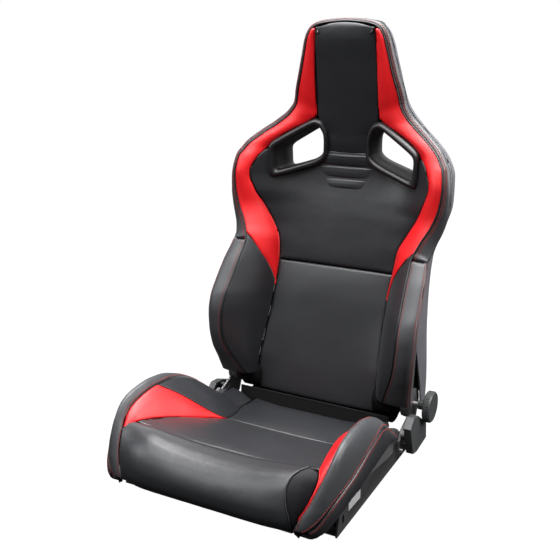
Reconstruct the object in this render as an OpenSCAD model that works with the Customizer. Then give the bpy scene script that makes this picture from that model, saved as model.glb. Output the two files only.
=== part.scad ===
// Reclining sport seat: cushion on two side brackets, backrest turned by a handwheel.
// The front faces -Y, the sitter's left is +X, +Z is up. The origin is the centre of
// the four floor bolts on the underside of the brackets. All sizes are millimetres.

/* [Base] */
// Outer face of each side bracket from the middle plane
bracket_x = 235; // [233:1:236]
// Thickness of the bracket plate
bracket_t = 4; // [3:0.5:4]
// Width of the bracket's inward foot flange
flange_w = 32; // [28:1:34]
// Distance between the two bolt rows, left to right
bolt_span_x = 426; // [422:1:428]
// Distance between the front and rear bolts
bolt_span_y = 280; // [260:5:290]
// Diameter of the floor bolt holes
bolt_hole_d = 8.5; // [6.5:0.5:10.5]

/* [Recliner] */
// Pivot position behind the floor bolt centre
pivot_y = 185; // [184:0.5:186]
// Pivot height above the floor face
pivot_z = 108; // [107:0.5:109]
// Radius of the recliner discs
disc_r = 34; // [30:1:34]
// Diameter of the cross shaft
shaft_d = 12; // [10:1:12]
// Diameter of the handwheel
wheel_d = 73; // [60:1:76]
// Width of the handwheel
wheel_w = 17; // [14:1:18]
// Number of grip grooves around the handwheel
wheel_grooves = 36; // [24:4:40]

/* [Backrest] */
// Thickness of the rear shell
shell_t = 3.5; // [3:0.5:4]
// Thickness of the lumbar and upper back pads
pad_t = 45; // [38:1:46]
// Wall of the belt guides
guide_wall = 8; // [7:0.5:9]

/* [Cushion] */
// Height of the cushion's surface at its rear edge
cushion_rear_z = 58; // [55:1:60]
// Height of the cushion's surface at its front lip
cushion_lip_z = 138; // [134:1:140]

/* [Hidden] */
$fn = 64;

gap = 0.3;                      // clearance between bodies that turn past each other
fit = 0.05;                     // radial clearance of the shaft in its bores
trim = 1;                       // gap between neighbouring pads
pan_lift = 0.3;                 // gap between the seat pan and the pads on it
bracket_in = bracket_x - bracket_t;

// Layers of the recliner along X, from the outside in
arm_t = 5;
disc_t = 6;
arm_lower_x = bracket_x;
disc_fixed_x = arm_lower_x - disc_t;
disc_moving_x = disc_fixed_x - gap - disc_t;
arm_upper_x = disc_moving_x - arm_t;
frame_w = 20;
frame_x = arm_upper_x - frame_w;
wheel_x = 287;                  // outer face of the handwheel

// Seat pan's upper face, as [y, z]
PAN_TOP = [[-350, 61], [-338, 60], [-300, 56], [60, 24], [120, 24], [136, 30]];

// Cushion tables, as [y, value]: seam between centre and bolster, surface height at it,
// crest height, outer edge and lower outer edge of the bolster
CUSHION_SEAM = [[-348, 196], [-264, 193], [-200, 178], [-120, 160], [-24, 138], [58, 150]];
CUSHION_SEAM_Z = [[-348, 90], [-330, 118], [-300, 134], [-264, 140], [-200, 128],
    [-120, 107], [-24, 82], [58, 66]];
CREST_Z = [[-348, 105], [-340, 135], [-325, 160], [-300, 180], [-270, 194], [-230, 203],
    [-180, 208], [-136, 209], [-85, 199], [-44, 178], [-7, 150], [37, 112], [58, 92]];
BOLSTER_OUT = [[-348, 215], [-335, 232], [-300, 252], [-250, 264], [-180, 268],
    [-100, 266], [0, 256], [58, 250]];
BOLSTER_LOW = [[-348, 80], [-330, 76], [-300, 80], [-213, 96], [-132, 112], [-44, 112],
    [0, 104], [58, 70]];

// Backrest tables, as [z, value]: front surface on the middle plane, inner seam, welt seam,
// outer edge, and the rear shell's side, front edge and back
FRONT_Y = [[78, 153], [160, 180], [280, 221], [390, 258], [500, 290], [626, 322],
    [737, 316], [860, 298], [943, 286], [962, 296]];
INNER_X = [[115, 156], [160, 155], [280, 149], [390, 147], [440, 158], [480, 175],
    [520, 194], [560, 210]];
INNER_Y = [[115, 158], [160, 165], [240, 192], [320, 226], [400, 258], [440, 268],
    [520, 258], [560, 251]];
WELT_X = [[115, 178], [160, 196], [200, 211], [280, 221], [360, 217], [440, 212],
    [500, 238], [590, 263], [650, 251], [680, 225], [710, 184], [740, 149], [770, 132],
    [830, 117], [920, 95], [945, 84]];
WELT_Y = [[115, 130], [160, 110], [200, 93], [240, 86], [280, 90], [320, 104], [360, 133],
    [400, 162], [440, 192], [500, 222], [590, 233], [650, 251], [680, 270], [710, 298],
    [740, 310], [800, 306], [920, 291], [945, 290]];
OUTER_X = [[115, 246], [160, 255], [240, 262], [280, 263], [360, 256], [440, 250],
    [500, 268], [560, 282], [620, 279], [650, 266], [680, 243], [710, 205], [740, 170],
    [770, 150], [830, 130], [920, 107], [945, 92]];
SHELL_X = [[90, 248], [200, 249.5], [300, 252], [360, 249], [440, 243], [500, 257],
    [560, 271], [620, 268], [660, 250], [690, 222], [720, 185], [750, 156], [780, 138],
    [860, 118], [930, 100], [955, 82]];
SHELL_EDGE_Y = [[90, 214], [144, 200], [200, 176], [300, 138], [360, 158], [440, 222],
    [500, 262], [560, 275], [620, 285], [680, 305], [740, 340], [800, 334], [940, 314],
    [955, 310]];
SHELL_BACK_Y = [[90, 316], [140, 334], [200, 341], [330, 337], [450, 353], [560, 376],
    [640, 388], [740, 386], [860, 364], [940, 342], [955, 334]];
SHELL_Z = [95, 120, 150, 200, 250, 300, 360, 400, 440, 500, 560, 620, 660, 690, 720, 750,
    780, 860, 930, 955];

// Belt guide outline on the right side, seen from the front, as [x, z]
GUIDE = [[51, 630], [52, 700], [78, 729], [96, 724], [182, 674], [190, 664], [188, 594],
    [180, 590]];
GUIDE_HOLE = [[60, 637], [61, 695], [80, 716], [92, 713], [174, 665], [180, 658],
    [178, 606], [172, 603]];

// Inner edge of the shoulder pad: the upper pad, then the belt guide, then the headrest
SHOULDER_X = [[390, 151], [440, 155], [480, 174], [520, 197], [560, 216], [580, 224],
    [600, 228], [620, 226], [640, 214], [652, 203], [664, 193], [680, 175], [728, 92],
    [736, 79]];
SHOULDER_Y = [[390, 254], [440, 265], [480, 271], [520, 266], [560, 251], [600, 245],
    [620, 250], [640, 262], [664, 285], [700, 304], [736, 316]];

// Upper back pad: slices as [x, lower edge, upper edge], and its thickness as [z, value]
UPPER_SLICES = [[0, 390, 570], [28, 390, 570], [41, 390, 595], [46, 390, 619],
    [51, 390, 621], [100, 390, 607], [145.5, 390, 594], [153, 437, 592],
    [172, 482, 586.5], [182, 499, 584], [190, 512, 592], [192, 516, 660],
    [202, 535, 650], [213, 558, 638], [222, 580, 623], [226, 599, 608]];
UPPER_THICK = [[390, 32], [440, 22], [540, 22], [560, 16], [660, 16]];

function at(table, v) = lookup(v, table);
function flat(list) = [for (row = list) for (p = row) p];

// Everything on the left is the right-hand shape, mirrored
module side(s) {
    mirror([s < 0 ? 1 : 0, 0, 0]) children();
}

// A plate or prism of a [y, z] outline between two X positions
module slab_x(x0, x1, outline) {
    translate([x0, 0, 0]) rotate([90, 0, 90]) linear_extrude(x1 - x0) polygon(outline);
}

// A prism of an [x, z] outline between two Y positions
module slab_y(y0, y1, outline) {
    translate([0, y1, 0]) rotate([90, 0, 0]) linear_extrude(y1 - y0) polygon(outline);
}

// A round bar along X at [y, z]
module bar_x(x0, x1, r, y, z) {
    translate([x0, y, z]) rotate([0, 90, 0]) cylinder(r = r, h = x1 - x0);
}

// A solid through a list of rings that all have the same number of points. A thin ring
// goes out along one face and back along the other, so its ends close in strips.
module loft(rings, thin = false) {
    n = len(rings[0]);
    m = len(rings);
    last_ring = (m - 1) * n;
    walls = [for (i = [0 : m - 2]) for (j = [0 : n - 1]) let (k = (j + 1) % n)
        each [[i * n + j, i * n + k, (i + 1) * n + k], [i * n + j, (i + 1) * n + k,
            (i + 1) * n + j]]];
    strips = [for (j = [0 : n / 2 - 2]) [j, j + 1, n - 2 - j, n - 1 - j]];
    first = thin ? [for (q = strips) [q[3], q[2], q[1], q[0]]] : [[for (j = [n - 1 : -1 : 0]) j]];
    last = thin ? [for (q = strips) [for (j = q) last_ring + j]]
        : [[for (j = [0 : n - 1]) last_ring + j]];
    polyhedron(points = flat(rings), faces = concat(walls, first, last));
}

// ---------------------------------------------------------------- base

module side_bracket(s) {
    slot_y = -208;
    slot_z = 20;
    color([0.05, 0.05, 0.06]) side(s) difference() {
        union() {
            slab_x(bracket_in, bracket_x, [[-236, 0], [-233, 20], [-227, 38], [-214, 61],
                [-204, 63], [-76, 57], [60, 41], [96, 34], [108, 42], [116, 66],
                [148, 70], [160, 40], [152, 0]]);
            translate([bracket_in - flange_w, -232, 0]) cube([flange_w, 380, 4]);
        }
        for (y = [-bolt_span_y / 2, bolt_span_y / 2])
            translate([bolt_span_x / 2, y, -1]) cylinder(d = bolt_hole_d, h = 6);
        for (z = [slot_z, slot_z + 12])
            bar_x(bracket_in - 1, bracket_x + 1, 4.5, slot_y, z);
        translate([bracket_in - 1, slot_y - 4.5, slot_z]) cube([bracket_t + 2, 9, 12]);
    }
}

module front_cross_tube() {
    color([0.12, 0.12, 0.13]) difference() {
        bar_x(-bracket_in, bracket_in, 11, -215, 34);
        bar_x(-bracket_in - 1, bracket_in + 1, 9, -215, 34);
    }
}

module rear_cross_tube() {
    color([0.12, 0.12, 0.13]) difference() {
        bar_x(-bracket_in, bracket_in, 8, 84, 13);
        bar_x(-bracket_in - 1, bracket_in + 1, 6.2, 84, 13);
    }
}

module seat_pan() {
    thick = 2.5;
    top = [for (p = PAN_TOP) if (p[0] >= -338) p];
    under = [for (i = [len(top) - 1 : -1 : 0]) [top[i][0], top[i][1] - thick]];
    color([0.1, 0.1, 0.11]) intersection() {
        slab_x(-bracket_in, bracket_in, concat(top, under));
        linear_extrude(100) polygon([[-188, -340], [188, -340], [bracket_in, -240],
            [bracket_in, 140], [-bracket_in, 140], [-bracket_in, -240]]);
    }
}

module cushion_centre() {
    profile = [[-262, at(PAN_TOP, -262) + pan_lift], [60, 24 + pan_lift], [119, 24 + pan_lift],
        [130, 30], [130, cushion_rear_z - 4], [122, cushion_rear_z], [60, cushion_rear_z + 6],
        [-24, cushion_rear_z + 22], [-120, 105], [-200, cushion_lip_z - 12],
        [-262, cushion_lip_z]];
    right = [for (y = [-262, -200, -120, -24, 58, 132]) [at(CUSHION_SEAM, y) - trim, y]];
    left = [for (i = [len(right) - 1 : -1 : 0]) [-right[i][0], right[i][1]]];
    color([0.06, 0.06, 0.07]) intersection() {
        slab_x(-200, 200, profile);
        linear_extrude(200) polygon(concat(right, left));
    }
}

module cushion_front_roll() {
    color([0.06, 0.06, 0.07]) slab_x(-192, 192, [[-263, at(PAN_TOP, -263) + pan_lift],
        [-263, cushion_lip_z], [-285, cushion_lip_z], [-305, cushion_lip_z - 4],
        [-325, cushion_lip_z - 14], [-342, cushion_lip_z - 30], [-353, 92], [-357, 76],
        [-352, 64], [-338, 60 + pan_lift], [-300, 56 + pan_lift]]);
}

// Ring of a cushion bolster at y: foot on the pan, outer side, crest and inner slope
function bolster_ring(y) =
    let (xi = at(CUSHION_SEAM, y), zs = at(CUSHION_SEAM_Z, y), zc = at(CREST_Z, y),
        xo = at(BOLSTER_OUT, y), zq = at(BOLSTER_LOW, y), zp = at(PAN_TOP, y) + pan_lift,
        xb = min(bracket_in - 2, xo - 8), xc = min(222, xo - 16), zm = (zc + zq) / 2)
    [[xi, y, zp], [xb, y, zp], [xb, y, zq], [xo - 6, y, zq], [xo, y, zm],
        [xo - 5, y, max(zc - 14, zm + 4)], [min(242, xo - 10), y, zc], [xc, y, zc - 5],
        [(xi + xc) / 2, y, zs + (zc - zs) * 0.42], [xi, y, zs]];

module cushion_bolster(s) {
    stations = [-348, -340, -325, -300, -264, -230, -180, -136, -85, -44, -7, 37, 58];
    color([0.09, 0.09, 0.1]) side(s) loft([for (y = stations) bolster_ring(y)]);
}

module cushion_side_panel(s) {
    skin = 3;
    lower = [[-300, 68], [-213, 68], [-76, 62], [20, 48], [50, 45]];
    upper = [for (y = [50, 0, -44, -132, -213, -300]) [y, at(BOLSTER_LOW, y) - 2]];
    color([0.2, 0.2, 0.21]) side(s)
        slab_x(bracket_x + skin, bracket_x + 2 * skin, concat(lower, upper));
}

module cushion_tail(s) {
    color([0.09, 0.09, 0.1]) side(s) slab_x(151, bracket_in - 2,
        [[59, 24.3], [106, 24.3], [112, 32], [112, 78], [100, 90], [82, 95], [59, 92]]);
}

module recliner_lower_arm(s) {
    color([0.16, 0.16, 0.17]) side(s) difference() {
        union() {
            bar_x(arm_lower_x, arm_lower_x + arm_t, disc_r + 2, pivot_y, pivot_z);
            slab_x(arm_lower_x, arm_lower_x + arm_t, [[94, 12], [150, 8], [196, 40],
                [pivot_y + 30, pivot_z - 20], [pivot_y - 31, pivot_z - 18], [112, 74],
                [96, 50]]);
        }
        bar_x(arm_lower_x - 1, arm_lower_x + arm_t + 1, shaft_d / 2 + fit, pivot_y, pivot_z);
    }
}

module recliner_disc(s, x, shade) {
    color([shade, shade, shade]) side(s) difference() {
        bar_x(x, x + disc_t, disc_r, pivot_y, pivot_z);
        bar_x(x - 1, x + disc_t + 1, shaft_d / 2 + fit, pivot_y, pivot_z);
    }
}

// Moulded cover outside the lower arm: an angular cup that opens towards the arm. The one
// on the handwheel's side stands higher.
module hinge_cover(s) {
    inner_x = 251.5;
    outer_x = 268;
    wall = 3;
    top = s > 0 ? [[84, 92], [106, 111], [136, 104]] : [[94, 74], [108, 87], [136, 85]];
    top_in = s > 0 ? [[90, 90], [107, 106], [134, 100]] : [[99, 73], [109, 83], [134, 81]];
    outline = concat(top, [[198, 60], [204, 20], [136, 14], [110, 20]]);
    pocket = concat(top_in, [[194, 58], [200, 24], [137, 18], [113, 23]]);
    color([0.07, 0.07, 0.08]) side(s) {
        difference() {
            slab_x(inner_x, outer_x, outline);
            slab_x(inner_x - 1, outer_x - wall, pocket);
        }
        for (p = [[112, 40], [132, 76]])
            bar_x(arm_lower_x + arm_t, outer_x - wall, 5, p[0], p[1]);
    }
}

module stop_bumpers() {
    color([0.3, 0.3, 0.32]) for (s = [-1, 1]) side(s) {
        bar_x(arm_lower_x + arm_t, 248, 9, 108, 66);
        bar_x(248, 250, 7, 108, 66);
    }
}

module arm_bolts() {
    color([0.45, 0.45, 0.47]) for (s = [-1, 1]) side(s)
        for (p = [[106, 24], [146, 22], [150, 52]])
            bar_x(arm_lower_x + arm_t, arm_lower_x + arm_t + 5, 6.5, p[0], p[1]);
}

module blank_label() {
    color([0.75, 0.75, 0.76]) slab_x(bracket_x, bracket_x + 0.5,
        [[-182, 30], [-122, 27], [-122, 46], [-182, 49]]);
}

// Trim that closes the gap behind the cushion, an arc around the pivot under the backrest
module rear_gap_cover() {
    r = 52;
    t = 2.5;
    x = 196;
    color([0.04, 0.04, 0.045]) {
        translate([-x, pivot_y, pivot_z]) rotate([90, 0, 90]) rotate([0, 0, 208])
            rotate_extrude(angle = 88) translate([r, 0]) square([t, 2 * x]);
        slab_x(-x, x, [[130.8, 31], [133, 31.5], [139.4, 80.4], [137.4, 82.5]]);
    }
}

// ---------------------------------------------------------------- backrest

// Half of the shell's cross-section as a rounded U, t from 0 at the edge to 1 at the back
function shell_point(z, t, inset) =
    let (a = 90 * t, xs = at(SHELL_X, z) - inset, ye = at(SHELL_EDGE_Y, z),
        yb = at(SHELL_BACK_Y, z) - inset)
    [xs * pow(cos(a), 0.55), ye + (yb - ye) * pow(sin(a), 0.62), z];

function shell_ring(z) =
    let (steps = 12,
        outer = [for (i = [0 : steps]) shell_point(z, i / steps, 0)],
        inner = [for (i = [0 : steps]) shell_point(z, i / steps, shell_t)])
    concat(outer, [for (i = [steps - 1 : -1 : 0]) [-outer[i][0], outer[i][1], z]],
        [for (i = [0 : steps]) [-inner[i][0], inner[i][1], z]],
        [for (i = [steps - 1 : -1 : 0]) inner[i]]);

module back_shell() {
    color([0.42, 0.41, 0.44]) difference() {
        loft([for (z = SHELL_Z) shell_ring(z)], thin = true);
        for (s = [-1, 1]) side(s) slab_y(300, 420,
            [for (p = GUIDE) [120 + (p[0] - 120) * 1.015, 660 + (p[1] - 660) * 1.015]]);
    }
}

// Pressed side member of the backrest, a channel that opens inwards
module back_frame(s) {
    front = [[206, 150], [232, 230], [258, 330], [284, 430], [306, 505], [319, 545]];
    depth = 18;
    t = 2.5;
    rear = [for (i = [len(front) - 1 : -1 : 0]) [front[i][0] + depth, front[i][1]]];
    front_in = [for (p = front) [p[0] + t, p[1] + (p[1] < 200 ? t : p[1] > 540 ? -t : 0)]];
    rear_in = [for (i = [len(front) - 1 : -1 : 0])
        [front[i][0] + depth - t, front_in[i][1]]];
    color([0.14, 0.14, 0.15]) side(s) difference() {
        slab_x(frame_x, arm_upper_x, concat(front, rear));
        slab_x(frame_x - 1, arm_upper_x - t, concat(front_in, rear_in));
    }
}

module back_lower_tube() {
    color([0.14, 0.14, 0.15]) difference() {
        bar_x(-frame_x, frame_x, 8, 264, 236);
        bar_x(-frame_x - 1, frame_x + 1, 6, 264, 236);
    }
}

module back_upper_tube() {
    color([0.14, 0.14, 0.15]) difference() {
        bar_x(-frame_x, frame_x, 7.5, 343, 536);
        bar_x(-frame_x - 1, frame_x + 1, 6, 343, 536);
    }
}

// Bent tube inside the headrest, standing on the upper tube
module headrest_hoop() {
    r = 5;
    half = 36;
    bend = 30;
    foot = [353, 544];
    lean = -2.2;
    rise = 305;
    color([0.14, 0.14, 0.15]) translate([0, foot[0], foot[1]]) rotate([-lean, 0, 0]) {
        for (s = [-1, 1]) side(s) {
            translate([half, 0, 0]) cylinder(r = r, h = rise);
            translate([half - bend, 0, rise]) rotate([90, 0, 0])
                rotate_extrude(angle = 90) translate([bend, 0]) circle(r = r, $fn = 24);
        }
        bar_x(bend - half, half - bend, r, 0, rise + bend);
    }
}

function front_points(z0, z1) =
    concat([[at(FRONT_Y, z0), z0]], [for (p = FRONT_Y) if (p[0] > z0 && p[0] < z1)
        [p[1], p[0]]], [[at(FRONT_Y, z1), z1]]);

// A pad between two heights: its side profile follows the front surface
module pad(z0, z1, thick, outline) {
    front = front_points(z0, z1);
    rear = [for (i = [len(front) - 1 : -1 : 0]) [front[i][0] + thick, front[i][1]]];
    mirrored = [for (i = [len(outline) - 1 : -1 : 0]) [-outline[i][0], outline[i][1]]];
    intersection() {
        slab_x(-240, 240, concat(front, rear));
        slab_y(100, 420, concat(outline, mirrored));
    }
}

module lumbar_pad() {
    skirt = 12;
    color([0.06, 0.06, 0.07]) {
        difference() {
            pad(78, 389, pad_t, [[154, 78], [154, 160], [148, 280], [146, 389]]);
            slab_x(-200, 200, [[at(FRONT_Y, 78) + skirt, 70], [at(FRONT_Y, 126) + skirt, 126],
                [260, 126], [260, 70]]);
        }
    }
}

// Upper back pad: a curved panel made of upright slices. Its sides turn forward, and its
// top edge runs under the neck pad and the belt guides and up behind their outer ends.
function upper_slice(row) =
    let (x = row[0], steps = 5,
        front = [for (i = [0 : steps]) let (z = row[1] + (row[2] - row[1]) * i / steps,
            xi = at(SHOULDER_X, z) - trim, yc = at(FRONT_Y, z), yi = at(SHOULDER_Y, z))
            [x, yc + (yi - yc) * pow(min(1, abs(x) / xi), 3.5), z]])
    concat(front, [for (i = [steps : -1 : 0])
        [x, front[i][1] + at(UPPER_THICK, front[i][2]), front[i][2]]]);

module upper_back_pad() {
    right = [for (i = [1 : len(UPPER_SLICES) - 1]) UPPER_SLICES[i]];
    left = [for (i = [len(right) - 1 : -1 : 0]) [-right[i][0], right[i][1], right[i][2]]];
    color([0.06, 0.06, 0.07])
        loft([for (row = concat(left, [UPPER_SLICES[0]], right)) upper_slice(row)]);
}

module neck_pad() {
    color([0.07, 0.07, 0.08]) pad(572, 651, 19, [[25, 572], [38, 596], [44, 620], [49, 624],
        [49, 651]]);
}

module headrest_pad() {
    color([0.06, 0.06, 0.07]) pad(652, 962, 22, [[49, 652], [50, 700], [77, 732], [76, 860],
        [73, 943], [56, 956], [0, 962]]);
}

// Ring of a side pad at height z: inner seam, welt, outer edge and back. The back edge
// stays in front of the rear shell's edge and turns inside it.
function wing_ring(z, xi, yi, thick, back) =
    let (xw = at(WELT_X, z), yw = at(WELT_Y, z), xo = at(OUTER_X, z),
        xt = max(at(SHELL_X, z) - shell_t - 7, xi + 0.5 * (xo - xi)), yb = yi + thick)
    [[xi, yi, z], [(xi + xw) / 2 + 3, (yi + yw) / 2 - 3, z], [xw, yw, z],
        [(xw + xo) / 2, yw + 2, z], [xo, yw + 16, z], [xo - 3, max(back, yw + 17), z],
        [xt, max(back, yw + 17), z], [xi + 0.3 * (xo - xi), yb, z], [xi, yb, z]];

module back_bolster(s) {
    stations = [118, 140, 160, 200, 240, 280, 320, 360, 400, 442];
    color([0.07, 0.07, 0.08]) side(s) loft([for (z = stations)
        wing_ring(z, at(INNER_X, z), at(INNER_Y, z), z < 150 ? 3 : 22,
            z < 150 ? 146 : min(max(at(WELT_Y, z) + 24, z < 300 ? 132 : 0),
                at(SHELL_EDGE_Y, z) - 3))]);
}

module shoulder_pad(s) {
    stations = [444, 480, 520, 560, 580, 600, 620, 640, 652, 664, 680, 704, 728, 736];
    color([0.75, 0.04, 0.06]) side(s) loft([for (z = stations)
        wing_ring(z, at(SHOULDER_X, z), at(SHOULDER_Y, z), 18,
            min(at(WELT_Y, z) + 42, at(SHELL_EDGE_Y, z) - 3))]);
}

module headrest_side(s) {
    stations = [737, 755, 780, 830, 880, 920, 945];
    color([0.75, 0.04, 0.06]) side(s) loft([for (z = stations)
        wing_ring(z, 79 - (z - 737) * 0.02, at(FRONT_Y, z), 13,
            at(SHELL_EDGE_Y, z) - 3)]);
}

// Moulded guide that lines the belt pass-through from the front to the rear shell
module belt_guide(s) {
    color([0.05, 0.05, 0.055]) side(s) difference() {
        intersection() {
            slab_y(270, 374, GUIDE);
            linear_extrude(800) polygon([[45, 316], [80, 314], [195, 277], [195, 360],
                [45, 374]]);
        }
        slab_y(260, 400, GUIDE_HOLE);
    }
}

module recliner_upper_arm(s) {
    color([0.18, 0.18, 0.19]) side(s) difference() {
        union() {
            bar_x(arm_upper_x, arm_upper_x + arm_t, disc_r - 1, pivot_y, pivot_z);
            slab_x(arm_upper_x, arm_upper_x + arm_t, [[pivot_y + 4, pivot_z + 8],
                [pivot_y + 32, pivot_z], [238, 150], [262, 224], [278, 262], [258, 262],
                [236, 214], [204, 150]]);
        }
        bar_x(arm_upper_x - 1, arm_upper_x + arm_t + 1, shaft_d / 2 + fit, pivot_y, pivot_z);
    }
}

module shell_screws() {
    color([0.1, 0.1, 0.1]) for (s = [-1, 1]) side(s)
        for (p = [[120, 160], [120, 420]])
            translate([p[0], at(SHELL_BACK_Y, p[1]) - 1, p[1]]) rotate([-90, 0, 0])
                cylinder(r = 6, h = 3);
}

module frame_bolts() {
    color([0.45, 0.45, 0.47]) for (s = [-1, 1]) side(s)
        for (p = [[226, 164], [258, 244]])
            bar_x(arm_upper_x + arm_t, arm_upper_x + arm_t + 4, 6, p[0], p[1]);
}

// ---------------------------------------------------------------- handwheel drive

module handwheel() {
    r = wheel_d / 2;
    groove_r = 1.6;
    inner_x = wheel_x - wheel_w;
    color([0.09, 0.1, 0.1]) difference() {
        union() {
            translate([inner_x, pivot_y, pivot_z]) rotate([0, 90, 0])
                rotate_extrude() polygon([[0, 0], [r - 2, 0], [r, 2], [r, wheel_w - 3],
                    [r - 3, wheel_w], [0, wheel_w]]);
            bar_x(252, inner_x, 11, pivot_y, pivot_z);
        }
        bar_x(251, wheel_x - 3, shaft_d / 2, pivot_y, pivot_z);
        bar_x(wheel_x - 2, wheel_x + 1, r - 6, pivot_y, pivot_z);
        for (i = [0 : wheel_grooves - 1])
            translate([inner_x - 1, pivot_y, pivot_z]) rotate([i * 360 / wheel_grooves, 0, 0])
                translate([0, 0, r + 0.9]) rotate([0, 90, 0])
                    cylinder(r = groove_r, h = wheel_w - 3, $fn = 16);
    }
}

module handwheel_cap() {
    color([0.11, 0.12, 0.13]) bar_x(wheel_x - 2, wheel_x - 0.4, wheel_d / 2 - 6.5, pivot_y,
        pivot_z);
}

module cross_shaft() {
    color([0.5, 0.5, 0.52]) bar_x(-arm_lower_x - 9, wheel_x - 3, shaft_d / 2, pivot_y,
        pivot_z);
}

// Spring clips that hold the shaft against the inner faces of the upper arms
module shaft_clips() {
    color([0.5, 0.5, 0.52]) for (s = [-1, 1]) side(s) difference() {
        bar_x(arm_upper_x - 2.5, arm_upper_x - 0.7, shaft_d / 2 + 3, pivot_y, pivot_z);
        bar_x(arm_upper_x - 3, arm_upper_x, shaft_d / 2, pivot_y, pivot_z);
    }
}

side_bracket(-1);  // side_bracket_left
side_bracket(1);  // side_bracket_right
front_cross_tube();
rear_cross_tube();
seat_pan();
cushion_centre();
cushion_front_roll();
cushion_bolster(-1);  // cushion_bolster_left
cushion_bolster(1);  // cushion_bolster_right
cushion_side_panel(-1);  // cushion_side_panel_left
cushion_side_panel(1);  // cushion_side_panel_right
cushion_tail(-1);  // cushion_tail_left
cushion_tail(1);  // cushion_tail_right
recliner_lower_arm(-1);  // recliner_lower_arm_left
recliner_lower_arm(1);  // recliner_lower_arm_right
recliner_disc(-1, disc_fixed_x, 0.3);  // recliner_fixed_disc_left
recliner_disc(1, disc_fixed_x, 0.3);  // recliner_fixed_disc_right
rear_gap_cover();
hinge_cover(-1);  // hinge_cover_left
hinge_cover(1);  // hinge_cover_right
stop_bumpers();
arm_bolts();
blank_label();
back_shell();
back_frame(-1);  // back_frame_left
back_frame(1);  // back_frame_right
back_lower_tube();
back_upper_tube();
headrest_hoop();
lumbar_pad();
upper_back_pad();
neck_pad();
headrest_pad();
headrest_side(-1);  // headrest_side_left
headrest_side(1);  // headrest_side_right
shoulder_pad(-1);  // shoulder_pad_left
shoulder_pad(1);  // shoulder_pad_right
back_bolster(-1);  // back_bolster_left
back_bolster(1);  // back_bolster_right
belt_guide(-1);  // belt_guide_left
belt_guide(1);  // belt_guide_right
recliner_upper_arm(-1);  // recliner_upper_arm_left
recliner_upper_arm(1);  // recliner_upper_arm_right
recliner_disc(-1, disc_moving_x, 0.35);  // recliner_moving_disc_left
recliner_disc(1, disc_moving_x, 0.35);  // recliner_moving_disc_right
shell_screws();
frame_bolts();
handwheel();
handwheel_cap();
cross_shaft();
shaft_clips();
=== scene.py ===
"""Reclining sport seat: leather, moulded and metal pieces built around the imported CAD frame."""

import math

import bpy
import numpy as np
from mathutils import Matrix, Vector, noise

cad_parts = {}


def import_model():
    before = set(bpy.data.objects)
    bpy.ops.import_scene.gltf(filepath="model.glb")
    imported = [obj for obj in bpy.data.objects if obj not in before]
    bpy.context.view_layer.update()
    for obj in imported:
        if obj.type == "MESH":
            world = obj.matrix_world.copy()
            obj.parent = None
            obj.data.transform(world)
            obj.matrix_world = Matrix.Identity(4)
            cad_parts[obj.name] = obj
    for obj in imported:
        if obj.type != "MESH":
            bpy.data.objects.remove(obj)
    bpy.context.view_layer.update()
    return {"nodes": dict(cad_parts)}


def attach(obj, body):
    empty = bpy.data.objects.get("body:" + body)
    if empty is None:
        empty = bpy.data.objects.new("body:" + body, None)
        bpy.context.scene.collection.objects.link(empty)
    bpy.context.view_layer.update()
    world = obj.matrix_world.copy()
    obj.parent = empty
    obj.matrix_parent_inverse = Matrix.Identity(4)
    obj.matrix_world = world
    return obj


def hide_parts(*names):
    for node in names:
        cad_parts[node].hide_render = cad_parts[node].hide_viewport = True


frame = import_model()
scene = bpy.context.scene

# ------------------------------------------------------------------ camera
camera = bpy.data.objects.new("camera", bpy.data.cameras.new("camera"))
camera.data.lens = 52.38
camera.data.sensor_width = 36
camera.location = (0.7702, -1.4843, 0.933)
camera.rotation_euler = (math.radians(73.03), 0, math.radians(27.83))
scene.collection.objects.link(camera)
scene.camera = camera


# ------------------------------------------------------------------ curves
def smooth(keys, values):
    """A curve through the values without overshoot (monotone cubic), for one or more columns."""
    x, y = np.array(keys, float), np.array(values, float)
    if y.ndim == 1:
        y = y[:, None]
    h, d = np.diff(x)[:, None], np.diff(y, axis=0) / np.diff(x)[:, None]
    m = np.zeros_like(y)
    m[0], m[-1] = d[0], d[-1]
    w1, w2 = 2 * h[1:] + h[:-1], h[1:] + 2 * h[:-1]
    with np.errstate(divide="ignore", invalid="ignore"):
        inner = (w1 + w2) / (w1 / d[:-1] + w2 / d[1:])
    m[1:-1] = np.where(d[:-1] * d[1:] > 0, inner, 0)

    def at(q):
        q = np.clip(np.asarray(q, float), x[0], x[-1])
        i = np.clip(np.searchsorted(x, q, side="right") - 1, 0, len(x) - 2)
        s = ((q - x[i]) / (x[i + 1] - x[i]))[..., None]
        hh = (x[i + 1] - x[i])[..., None]
        out = ((1 + 2 * s) * (1 - s) ** 2 * y[i] + s * (1 - s) ** 2 * hh * m[i]
               + s * s * (3 - 2 * s) * y[i + 1] - s * s * (1 - s) * hh * m[i + 1])
        return out[..., 0] if out.shape[-1] == 1 else out

    return at


def table(rows):
    """A smooth curve from rows of (key, value, ...)."""
    rows = np.array(rows, float)
    return smooth(rows[:, 0], rows[:, 1:])


def unit(v):
    return v / np.maximum(np.linalg.norm(v, axis=-1, keepdims=True), 1e-9)


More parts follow.
